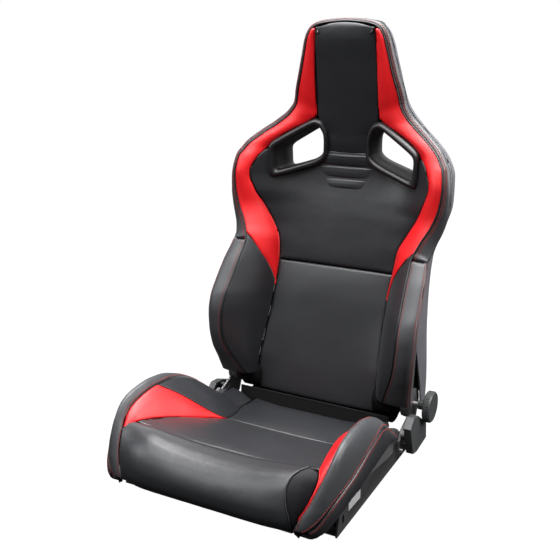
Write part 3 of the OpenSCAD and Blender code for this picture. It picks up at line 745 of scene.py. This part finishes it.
GUIDE_OUT = np.array([(.0470, .6275), (.0485, .702), (.064, .7285), (.082, .7340),
                      (.100, .7270), (.184, .6780), (.1945, .663), (.1925, .593),
                      (.181, .5845)])
GUIDE_IN = np.array([(.0615, .6425), (.0622, .693), (.072, .7105), (.083, .7140),
                     (.093, .7095), (.1705, .6630), (.1775, .653), (.1755, .612),
                     (.168, .6065)])


def rounded(points, per=9, ease=.34):
    """A closed outline whose corners are eased into short arcs."""
    n, out = len(points), []
    for i in range(n):
        a, b, c = points[i - 1], points[i], points[(i + 1) % n]
        p, q = b + (a - b) * ease, b + (c - b) * ease
        for s in np.linspace(0, 1, per, endpoint=False):
            out.append((1 - s) ** 2 * p + 2 * s * (1 - s) * b + s * s * q)
    return np.array(out)


def inside(outline, x, z):
    hit = np.zeros(x.shape, bool)
    n = len(outline)
    for i in range(n):
        (x0, z0), (x1, z1) = outline[i], outline[(i + 1) % n]
        if abs(z1 - z0) < 1e-9:
            continue
        cross = (z0 > z) != (z1 > z)
        hit ^= cross & (x < (x1 - x0) * (z - z0) / (z1 - z0) + x0)
    return hit


MID_OUTLINE = rounded((GUIDE_OUT + GUIDE_IN) / 2)


def under_guides(c):
    return inside(MID_OUTLINE, np.abs(c[..., 0]), c[..., 2])


upper_panel = Panel(lumbar, .3905, .656, nu=84, nt=110, roll=(.005, .005, .007, .003),
                    thick=.014, crown=.003, hole=under_guides,
                    loose=inflated(lumbar, .3905, .656, .0025))
single("upper_back_panel", upper_panel, BLACK, "backrest", "black_leather",
       ("upper_back_pad",), pad=.6)


def head_centre(u, f):
    """The headrest's black centre: straight rows, then rows that curve up to the top welt."""
    g = 2 * f - 1
    half = np.interp(u, [.65, .700, .712, .724, .734, .742, .80, .86, .92, .943],
                     [.0515, .0520, .0600, .0700, .0765, .0782, .0785, .0775, .0748, .0732])
    k = np.clip((u - .943) / .012, 0, 1)
    top = .9550 - .0135 * np.abs(g) ** 2.3
    z = np.where(u > .943, .943 + (top - .943) * k, u)
    y = front_y(z) + .0015 * g * g + np.where(u > .943, .002 * k * k, 0)
    return np.stack([g * (half - .003 * k), y, z], -1)


head_panel = Panel(head_centre, .6525, .955, nu=104, nt=34, roll=(.004, .004, .004, .005),
                   thick=.014, crown=.003, loose=inflated(head_centre, .6525, .955, .003))
single("headrest_centre", head_panel, BLACK, "backrest", "black_leather", ("headrest_pad",),
       pad=.8)
NECK_HALF = table([(.568, .040), (.576, .051), (.586, .0585), (.600, .065), (.622, .0725),
                   (.636, .072), (.645, .060), (.652, .0515)])


def neck(u, f):
    """The ribbed insert under the headrest, a little proud of the upper panel."""
    g = 2 * f - 1
    return np.stack([g * NECK_HALF(u), front_y(u) - .0065 + .0025 * g * g, u + 0 * g], -1)


for name, z0, z1 in (("neck_rib_upper", .6238, .6517), ("neck_rib_middle", .5948, .6230),
                     ("neck_rib_lower", .5695, .5940)):
    rib = Panel(neck, z0, z1, nu=12, nt=30, roll=(.005, .005, .006, .006), thick=.014,
                crown=.003)
    single(name, rib, BLACK, "backrest", "black_leather",
           ("neck_pad",) if z0 > .62 else (), pad=.8)


def shell_surface_y(x, z):
    """The rear shell's outer surface behind a point of the frontal plane."""
    across = min(1.0, (abs(x) / float(shell_x(z))) ** (1 / .55))
    edge, back = float(shell_edge(z)), float(shell_back(z))
    return edge + (back - edge) * (1 - across ** 2) ** .31


# The bezel's section from its outer edge (0) to its inner edge (1): place, depth and whether
# the depth counts from the rear shell
BEZEL = [(0, .045, 0), (0, .012, 0), (.03, .004, 0), (.12, -.002, 0), (.3, -.0065, 0),
         (.52, -.0078, 0), (.74, -.006, 0), (.9, -.001, 0), (.98, .006, 0),
         (1, .014, 0), (1.02, .05, 0), (1.02, .0008, 1), (.9, .0026, 1),
         (-.30, .0026, 1), (-.46, .0012, 1), (-.50, -.001, 1), (0, -.006, 1)]
DUCT_ROWS = range(9, 12)
BEZEL_Y, BEZEL_SLOPE = .3165, .0385


def bezel_y(x):
    """The bezel's front plane leans back towards the middle of the seat."""
    lean = np.clip((x - .055) / .135, 0, 1.05) ** 1.35
    return BEZEL_Y - BEZEL_SLOPE * lean


def bezels(material_front, material_duct):
    """A thick rounded rim in front, the duct behind it and a flange on the rear shell."""
    outer, inner = rounded(GUIDE_OUT), rounded(GUIDE_IN)
    verts = []
    for k, depth, rear in BEZEL:
        for x, z in outer + (inner - outer) * k:
            verts.append((x, depth + (shell_surface_y(x, z) if rear else bezel_y(x)), z))
    sides = len(outer)
    faces = [f[::-1] for f in tube_faces(len(BEZEL), sides, closed=True)]
    for o in pair("belt_bezel", verts, faces, material_front, "backrest", "guide_plastic",
                  ["belt_guide"]):
        o.data.materials.append(material_duct)
        for i, poly in enumerate(o.data.polygons):
            poly.material_index = int(i // sides in DUCT_ROWS)


bezels(GUIDE, DUCT)


# ------------------------------------------------------------------ rear shell
def shell_mesh():
    rows, cols, wall = 200, 91, .0035
    zs = np.r_[np.linspace(.095, .952, rows), .955, .9572, .9583]
    shrink = np.r_[np.zeros(rows), .002, .012, .030]
    layers = []
    for inset in (0, wall):
        ring = []
        for z, s in zip(zs, shrink):
            zz = min(z, .955)
            xs = float(shell_x(zz)) - inset - s
            ye, yb = float(shell_edge(zz)) + s * .3, float(shell_back(zz)) - inset - s * .3
            a = np.linspace(0, np.pi / 2, 400)
            x, y = xs * np.cos(a) ** .55, ye + (yb - ye) * np.sin(a) ** .62
            c = line_length(np.stack([x, y], 1))
            want = np.linspace(0, c[-1], cols)
            half = np.stack([np.interp(want, c, x), np.interp(want, c, y)], 1)
            line = np.concatenate([half, half[-2::-1] * [-1, 1]])
            zrow = z - (inset * .9 if z > .95 else 0)
            ring.append(np.column_stack([line, np.full(len(line), zrow)]))
        layers.append(np.array(ring))
    outer, inner = layers
    verts = np.concatenate([outer.reshape(-1, 3), inner.reshape(-1, 3)])
    c = (outer[:-1, :-1] + outer[1:, 1:]) / 2
    open_cells = (c[..., 1] > .30) & inside(rounded(GUIDE_OUT), np.abs(c[..., 0]), c[..., 2])
    return verts, [f[::-1] for f in sheet_faces(~open_cells)]


make("rear_shell", *shell_mesh(), SHELL, "backrest", "shell_plastic", ("back_shell",), sharp=50)


# ------------------------------------------------------------------ cushion leather
# Right half: (y, x, z) of the seam between centre and bolster, and (y, z) of the centre
seam_m = table([(-.345, .1915, .066), (-.336, .1985, .0835), (-.325, .2080, .1035),
                (-.309, .2150, .1255), (-.290, .2175, .1465), (-.278, .2145, .1545),
                (-.264, .2085, .1565), (-.24, .202, .152), (-.20, .190, .141),
                (-.16, .178, .127), (-.12, .164, .112), (-.08, .151, .096),
                (-.03, .136, .077), (.02, .140, .068), (.058, .150, .064), (.13, .150, .058)])
centre_z = table([(-.264, .137), (-.24, .133), (-.20, .121), (-.12, .098), (-.06, .081),
                  (-.024, .074), (.02, .067), (.06, .062), (.115, .057), (.13, .050)])


def seat_surface(y, f):
    g = 2 * f - 1
    m = seam_m(y)
    zc = centre_z(y)
    return np.stack([g * m[..., 0], y, zc + (m[..., 1] - zc) * np.abs(g) ** 2.6], -1)


def bowed(y0, y1, bow0, bow1):
    """Rows of the seat surface between two seams that bow forward in the middle."""
    def surf(u, f):
        g = 2 * f - 1
        b = (bow0 + (bow1 - bow0) * u) * (1 - g * g)
        return seat_surface(y0 + (y1 - y0) * u + b, f)
    return surf


UP = (0, 0, 1)
rear_surf = bowed(-.0245, .134, -.004, 0)
rear_seat = Panel(rear_surf, 0, 1, nu=40, nt=54, roll=(.005, .005, .004, .006), depth=.0022,
                  thick=.024, crown=.003, out=UP, loose=inflated(rear_surf, 0, 1, .004, UP))
single("seat_rear_panel", rear_seat, BLACK, "base", "black_leather", (), pad=.7)
middle_surf = bowed(-.2635, -.0255, .016, -.004)
middle_seat = Panel(middle_surf, 0, 1, nu=56, nt=64, roll=(.005, .005, .004, .004),
                    depth=.0022, thick=.028, crown=.005, out=UP,
                    loose=inflated(middle_surf, 0, 1, .004, UP))
single("seat_middle_panel", middle_seat, BLACK, "base", "black_leather", ("cushion_centre",),
       pad=.8)

# Bolster stations as inner seam N, crest C, outer stitch Q and lower edge L, front to rear
BOLSTER = np.array([
    [(.194, -.3445, .068), (.205, -.3450, .069), (.216, -.3425, .068), (.216, -.339, .056)],
    [(.201, -.337, .0855), (.217, -.3375, .089), (.2315, -.3355, .079), (.230, -.333, .058)],
    [(.2115, -.325, .106), (.231, -.324, .117), (.243, -.324, .095), (.240, -.322, .062)],
    [(.2205, -.309, .129), (.239, -.309, .144), (.250, -.309, .108), (.247, -.308, .067)],
    [(.2275, -.290, .151), (.244, -.291, .170), (.2545, -.291, .117), (.252, -.290, .073)],
    [(.232, -.262, .177), (.2475, -.262, .194), (.2585, -.262, .126), (.257, -.262, .082)],
    [(.231, -.230, .190), (.248, -.230, .204), (.262, -.230, .136), (.261, -.230, .093)],
    [(.229, -.180, .197), (.248, -.180, .208), (.2645, -.180, .152), (.265, -.180, .103)],
    [(.227, -.136, .195), (.247, -.136, .204), (.2645, -.136, .163), (.266, -.136, .110)],
    [(.225, -.085, .185), (.245, -.085, .188), (.263, -.088, .170), (.265, -.088, .113)],
    [(.218, -.045, .167), (.241, -.044, .168), (.257, -.045, .156), (.262, -.045, .113)],
    [(.213, -.008, .140), (.237, -.007, .139), (.253, -.008, .130), (.259, -.008, .106)],
    [(.210, .030, .110), (.233, .031, .108), (.249, .030, .102), (.254, .030, .090)],
    [(.207, .053, .092), (.228, .054, .091), (.244, .053, .086), (.247, .053, .073)]])
BK = line_length(BOLSTER[:, 1])
seam_n, crest, seam_q, low_l = (smooth(BK, BOLSTER[:, i]) for i in range(4))
B_LEN = BK[-1]
seam_n_y = table(sorted([(b[0][1], b[0][0], b[0][2]) for b in BOLSTER])
                 + [(.080, .206, .0875), (.114, .205, .0860)])

ROLL = np.array([(-.2645, .1365), (-.274, .1385), (-.288, .138), (-.306, .1345), (-.325, .1245),
                 (-.341, .109), (-.352, .091), (-.356, .077), (-.353, .066), (-.343, .061)])
roll_at = smooth(line_length(ROLL), ROLL)
ROLL_LEN = float(line_length(ROLL)[-1])
roll_end = table([(0, .1935), (.010, .1900), (.026, .1790), (.045, .1710), (.065, .1690),
                  (.085, .1740), (.100, .1810), (.12, .1900), (ROLL_LEN + .001, .193)])


def roll_point(x, s):
    yz = roll_at(s)
    rise = .0235 * (np.abs(x) / .193) ** 2 * np.clip((yz[..., 1] - .06) / .075, 0, 1)
    bow = .014 * (1 - (np.abs(x) / .2) ** 2) * np.clip(1 - s / .05, 0, 1) ** 2
    corner = .010 * np.clip((np.abs(x) - .12) / .08, 0, 1) ** 2 * np.clip(s / .05, 0, 1)
    return np.stack([x, yz[..., 0] + bow + corner, yz[..., 1] + rise], -1)


def corner_seam(s):
    """Where the front panels meet the bolster's red strip, beside the roll's arc at s."""
    y = np.interp(np.clip(s / ROLL_LEN, 0, 1), [0, .35, 1], [-.268, -.308, -.3445])
    m = seam_m(y)
    return np.stack([m[..., 0], y, m[..., 1]], -1)


def band_seam(s):
    """On the left the roll is sewn to the bolster's band, over the end of the red panel."""
    y = np.interp(np.clip(s / ROLL_LEN, 0, 1), [0, .12, .35, 1], [-.268, -.286, -.311, -.3440])
    m, n = seam_m(y), seam_n_y(y)
    k = np.clip((-.268 - y) / .024, 0, 1)
    return np.stack([m[..., 0] + (n[..., 0] - m[..., 0]) * k, y - .0035 * k,
                     m[..., 1] + (n[..., 1] - m[..., 1]) * k], -1)


LEFT_END = .200


def front_roll(s, f):
    """The roll: its right end stops at the wedge, its left end turns down to the bolster."""
    g = 2 * f - 1
    end = np.where(g < 0, LEFT_END, roll_end(s))
    p = roll_point(g * end, s)
    left_end = roll_point(-LEFT_END + 0 * s, s)
    k = np.clip((-g - .70) / .30, 0, 1)[..., None] ** 2.2
    return p + k * (band_seam(s) * MIRROR - left_end)


roll_panel = Panel(front_roll, 0, ROLL_LEN, nu=60, nt=70, roll=(.005, .005, .004, .004),
                   depth=.0022, thick=.028, crown=.004, out=(0, -1, 1),
                   loose=inflated(front_roll, 0, ROLL_LEN, .004, (0, -1, 1)))
single("cushion_front_roll_cover", roll_panel, BLACK, "base", "black_leather",
       ("cushion_front_roll",), pad=.9)

def crest_band(s, t):
    a, c, b = seam_n(s), crest(s), seam_q(s)
    ctrl = 2 * c - (a + b) / 2
    t = t[..., None]
    return (1 - t) ** 2 * a + 2 * t * (1 - t) * ctrl + t * t * b


def under_roll(s, t):
    a, b = seam_q(s), low_l(s)
    out = np.zeros_like(a)
    out[..., 0] = 1
    p = a + (b - a) * np.minimum(t * 1.15, 1)[..., None] + out * (
        .004 * np.sin(np.pi * np.minimum(t * 1.15, 1)) - .022 * np.clip(t - .87, 0, 1) / .13
    )[..., None]
    return p


band_c = Panel(crest_band, 0, B_LEN, nu=110, nt=18, roll=(.004, .0035, .003, .004), thick=.0065,
               crown=.001, out=(.6, 0, 1), wrinkle=.0005,
               loose=inflated(crest_band, 0, B_LEN, .002, (.6, 0, 1), nt=14))
both("cushion_bolster_band", band_c, BAND, "base", "band_leather", (), pad=.8)
under_c = Panel(under_roll, .007, B_LEN, nu=90, nt=12, roll=(.0035, .002, .003, .004), thick=.0065,
                crown=.002, out=(1, 0, 0), wrinkle=.0005)
both("cushion_bolster_side", under_c, BLACK, "base", "black_leather", (), pad=.7)
stitches("cushion_stitches", [band_c.line(.0055, 0), band_c.line(.0050, 1),
                              under_c.line(.0050, 0)], THREAD, "base", mirror=True)

def bolster_inner(y, t):
    """The cushion bolster's inner slope, from the centre seam up to the crest band."""
    m, n = seam_m(y), seam_n_y(y)
    a = np.stack([m[..., 0], y, m[..., 1]], -1)
    b = np.stack([n[..., 0], y, n[..., 1]], -1)
    d = b - a
    nrm = unit(np.stack([-d[..., 2], 0 * y, d[..., 0]], -1))
    wide = np.linalg.norm(d, axis=-1)
    return a + d * t[..., None] + nrm * (.045 * wide * np.sin(np.pi * t))[..., None]


TRI_REAR, TRI_TOP, MEET = -.026, -.166, -.336


def red_limit(y):
    return np.clip((TRI_REAR - y) / (TRI_REAR - TRI_TOP), 0, 1) ** 1.5


def red_triangle(y, t):
    return bolster_inner(y, t * np.maximum(red_limit(y), .01))


def black_slope(y, t):
    s = np.minimum(red_limit(y), .99)
    return bolster_inner(y, s + (1 - s) * t)


triangle = Panel(red_triangle, MEET, TRI_REAR, nu=56, nt=14, roll=(.004, .0035, .003, .002),
                 thick=.012, crown=.002, out=(-.5, 0, 1))
both("cushion_red_panel", triangle, RED, "base", "red_leather", (), pad=.8)
slope = Panel(black_slope, TRI_TOP + .001, .113, nu=66, nt=16, roll=(.004, .004, .002, .004),
              thick=.012, out=(-.5, 0, 1))
both("cushion_bolster_inner", slope, BLACK, "base", "black_leather", ("cushion_bolster",),
     pad=.8)


def wedge(s, t):
    """The front panel between the end of the roll and the bolster's band."""
    x = roll_end(s)
    a = roll_point(x, s)
    b = corner_seam(s)
    return a + (b - a) * t[..., None]


wedge_c = Panel(wedge, .007, ROLL_LEN * .92, nu=44, nt=12, roll=(.003, .003, .003, .003),
                thick=.012, crown=.003, out=(.2, -1, .4))
# The wedge is black leather, given the darker copy as painted shade.
single("cushion_front_wedge", wedge_c, SHADED_WEDGE, "base", "black_leather", (), pad=.8)
ss = np.linspace(.008, ROLL_LEN * .90, 60)
sweep("wedge_piping", roll_point(roll_end(ss), ss) + np.array([0, -.0008, .0004]), .0017, PIPING,
      "base", "black_leather")
# Near-black cords sunk at the bottom of the seat's two seams: painted shade in the seam grooves.
ff = np.linspace(.012, .988, 90)
for name, surf in (("rear", bowed(-.0250, .128, -.004, 0)),
                   ("front", bowed(-.2638, -.0255, .016, -.004))):
    sweep(f"seat_seam_{name}", surf(0 * ff, ff) - np.array([0, 0, .0021]), .0015, SEAM_SHADE, "base",
          "black_leather")


# Closed forms: rings of equal point counts
def loft(name, rings, material, body, slot=None, nodes=(), pad=None, mirror=False, sharp=None):
    rings = np.array(rings, float)
    faces = tube_faces(*rings.shape[:2])
    return (pair if mirror else make)(name, rings.reshape(-1, 3), faces, material, body, slot,
                                      nodes, pad, sharp)


def superring(cx, cy, rx, ry, x, power=3.2, n=40):
    """A rounded rectangle in the plane at this x, as (x, y, z) points."""
    a = np.linspace(0, 2 * np.pi, n, endpoint=False)
    c, s = np.cos(a), np.sin(a)
    return np.stack([np.full(n, x), cx + rx * np.sign(c) * np.abs(c) ** (2 / power),
                     cy + ry * np.sign(s) * np.abs(s) ** (2 / power)], 1)


TAIL_Y, TAIL_HALF, TAIL_FOOT, TAIL_TOP = .0845, .0285, .0245, .0805
tail_rings = []
for x, k in ((.152, .90), (.155, .97), (.160, 1), (.200, 1.0), (.224, 1), (.230, .97),
             (.2335, .90)):
    top = min(TAIL_TOP, .046 + (x - .15) * .58)                     # falls off inwards
    tail_rings.append(superring(TAIL_Y, (top + TAIL_FOOT) / 2, TAIL_HALF * k,
                                (top - TAIL_FOOT) / 2 * k, x))
loft("cushion_tail_pad", tail_rings, BAND, "base", "band_leather", ("cushion_tail",), .7, True)

panel_rings = []
for x, k in ((.2375, .985), (.2385, 1), (.2405, 1), (.2412, .985)):
    top = [(y, float(np.interp(y, [-.30, -.213, -.132, -.044, 0, .05],
                               [.081, .094, .110, .111, .103, .088]))) for y in
           np.linspace(.05, -.30, 24)]
    bottom = [(y, float(np.interp(y, [-.30, -.213, -.076, .02, .05],
                                  [.068, .068, .062, .048, .046]))) for y in
              np.linspace(-.30, .05, 24)]
    loop = np.array(top + bottom)
    mid = loop.mean(0)
    loop = mid + (loop - mid) * k
    panel_rings.append(np.column_stack([np.full(len(loop), x), loop]))
loft("cushion_side_cloth", panel_rings, FABRIC, "base", "side_fabric",
     ("cushion_side_panel",), None, True, sharp=40)

# Foam core under the bolster's cover, so that its underside and rear end are closed; its liner is
# black, darkened further as painted shade there.
core = []
for s in np.linspace(.016, B_LEN - .004, 30):
    n0, c0, q0, l0 = (f(s) for f in (seam_n, crest, seam_q, low_l))
    y = c0[1]
    m0 = seam_m(np.array(y))
    inner = np.array([min(m0[0], n0[0] - .004), y, min(m0[1], n0[2]) - .006])
    foot = max(.030, float(np.interp(y, [-.338, -.30, .06], [.060, .056, .027])))
    core.append([n0 + (.003, 0, -.008), c0 + (0, 0, -.010), q0 + (-.010, 0, -.004),
                 l0 + (-.012, 0, .004), (.231 if y > -.30 else .205, y, l0[2]),
                 (.231 if y > -.30 else .205, y, min(foot, l0[2] - .004)),
                 (inner[0], y, foot), inner])
loft("bolster_core", core, SHADE_LINER, "base", "black_leather", (), None, True)

# Foam core behind the back's bolsters, in the black liner that is darkened further as painted
# shade.
core = []
for z in np.linspace(.121, .44, 30):
    e, w = inner_seam(z), welt(np.array(z))
    o = band_edge(np.array([z]))[0]
    edge, xs = float(shell_edge(z)), float(shell_x(z))
    back = max(edge + .012, o[1] + .03)
    core.append([e + (.004, .008, 0), (e + w) / 2 + (.004, .006, 0), w + (0, .010, 0),
                 o + (-.012, .010, 0), (xs - .012, back, z), (xs - .05, back + .004, z),
                 (e[0] + .004, max(e[1] + .03, back - .02), z)])
loft("back_bolster_core", core, SHADE_LINER, "backrest", "black_leather", (), None, True)


# Skirt round the pivot: closes the corner between the back's bolster, the lumbar panel and
# the cushion, and stays clear of the gap cover's arc at every recline
# The skirt's black liner is darkened further as painted shade for that corner.
PIVOT_Y, PIVOT_Z, SKIRT_R = .185, .108, .0385
skirt = []
for x, k in ((.149, .93), (.152, 1), (.200, 1), (.2035, .93)):
    skirt.append(superring(PIVOT_Y, PIVOT_Z, SKIRT_R * k, SKIRT_R * k, x, power=2.0, n=72))
loft("bolster_skirt", skirt, SHADE_LINER, "backrest", "side_fabric", (), None, True)


# ------------------------------------------------------------------ carried-over CAD parts
def dress(names, material, bevel=.0008):
    for n in names.split():
        for node in ([n + "_left", n + "_right"] if n + "_left" in frame["nodes"] else [n]):
            o = frame["nodes"][node]
            o.data.materials.clear()
            o.data.materials.append(material)
            if bevel:
                mod = o.modifiers.new("soft_edges", "BEVEL")
                mod.width, mod.segments, mod.limit_method = bevel, 2, "ANGLE"
                mod.angle_limit = math.radians(35)


dress("side_bracket", BRACKET, .0007)
dress("front_cross_tube rear_cross_tube seat_pan back_frame back_lower_tube back_upper_tube "
      "headrest_hoop", STEEL, .0005)
dress("recliner_lower_arm recliner_upper_arm", RECLINER)
dress("recliner_fixed_disc recliner_moving_disc", RECLINER, .0006)
dress("arm_bolts frame_bolts shell_screws cross_shaft shaft_clips", PLATED, .0006)
dress("hinge_cover", COVER, .0022)
# The rear gap cover's near-black plastic is darkened further as painted shade for the gap between
# cushion and backrest.
dress("rear_gap_cover", GAP_SHADE_TRIM, .0008)
dress("handwheel handwheel_cap", COVER, .0005)
dress("stop_bumpers", RUBBER, .0012)
dress("blank_label", LABEL, 0)


# ------------------------------------------------------------------ floor and light
def stage_floor():
    s, z = 14.0, -.0006
    mesh = bpy.data.meshes.new("floor")
    mesh.from_pydata([(-s, -s, z), (s, -s, z), (s, s, z), (-s, s, z)], [], [(0, 1, 2, 3)])
    m, tree, bsdf = new_material("floor_paper")
    bsdf.inputs["Base Color"].default_value = (.9, .9, .9, 1)
    bsdf.inputs["Roughness"].default_value = .9
    glow = tree.nodes.new("ShaderNodeEmission")
    glow.inputs["Color"].default_value = (1, 1, 1, 1)
    glow.inputs["Strength"].default_value = 1.04
    mix = tree.nodes.new("ShaderNodeMixShader")
    mix.inputs[0].default_value = .03
    tree.links.new(glow.outputs[0], mix.inputs[1])
    tree.links.new(bsdf.outputs[0], mix.inputs[2])
    tree.links.new(mix.outputs[0], tree.nodes["Material Output"].inputs["Surface"])
    mesh.materials.append(m)
    o = bpy.data.objects.new("floor", mesh)
    scene.collection.objects.link(o)
    o.visible_diffuse = False
    o.visible_glossy = False


def light(name, place, target, size, power, colour=(1, 1, 1)):
    data = bpy.data.lights.new(name, "AREA")
    data.shape, data.size, data.size_y = "RECTANGLE", *size
    data.energy, data.color = power, colour
    o = bpy.data.objects.new(name, data)
    o.location = place
    o.rotation_euler = (Vector(target) - Vector(place)).to_track_quat("-Z", "Y").to_euler()
    scene.collection.objects.link(o)


def world():
    w = bpy.data.worlds.new("studio")
    w.use_nodes = True
    tree = w.node_tree
    back = tree.nodes["Background"]
    coord = tree.nodes.new("ShaderNodeTexCoord").outputs["Generated"]
    split = tree.nodes.new("ShaderNodeSeparateXYZ")
    tree.links.new(coord, split.inputs[0])
    sky = ramp(tree, span(tree, split.outputs["Z"], 0, 1, -1, 1),
               [(0, (.015,) * 3), (.50, (.03,) * 3), (.66, (.34,) * 3), (1, (.58,) * 3)])
    seen = tree.nodes.new("ShaderNodeLightPath").outputs["Is Camera Ray"]
    tree.links.new(blend_colour(tree, sky, (1.0, 1.0, 1.0), seen), back.inputs["Color"])
    scene.world = w


stage_floor()
world()
light("overhead", (.05, -.62, 2.4), (0, -.1, .4), (2.2, 1.4), 72)
light("top_rear", (0, .60, 2.3), (0, -.15, .1), (2.2, 1.0), 120)
light("right_rear", (2.2, .8, 1.5), (.1, .2, .5), (1.0, 2.0), 70)
light("left_front", (-1.9, -1.3, 1.9), (0, .1, .6), (1.0, 1.4), 24, (.96, .98, 1))
scene.view_settings.view_transform = "Standard"
